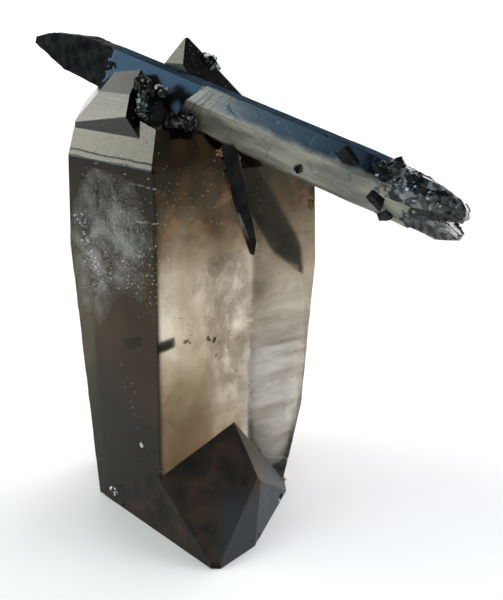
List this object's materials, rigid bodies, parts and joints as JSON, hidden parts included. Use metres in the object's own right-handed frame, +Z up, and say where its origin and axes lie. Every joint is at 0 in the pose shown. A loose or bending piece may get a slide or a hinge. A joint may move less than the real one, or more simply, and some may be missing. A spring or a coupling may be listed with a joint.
{
  "type": "smoky quartz with aegirine",
  "caption": "Upright smoky quartz crystal on a flat base, its stepped tip crossed by a long dark aegirine bar, with small dark crystals set into it; a display specimen.",
  "frame": {"origin": "on the flat base, near the middle of the quartz prism's foot", "axes": "+Z up along the quartz's long axis, -Y towards the front edge and the bar's near end, +X to the right; the bar crosses the tip from rear left to front right"},
  "size_m": [0.0507, 0.036, 0.0627],
  "materials": {
    "smoky_quartz": "glassy, clear brown with cloudy zones and smoke-dark ends",
    "aegirine": "glossy greenish black, striated lengthwise, with etched ends"
  },
  "bodies": {
    "root": {"smoky_quartz": "smoky_quartz", "aegirine_bar": "aegirine", "aegirine_needle": "aegirine", "aegirine_blade": "aegirine", "aegirine_cluster_tip": "aegirine", "aegirine_cluster_notch": "aegirine", "aegirine_cluster_rear": "aegirine"}
  },
  "joints": []
}
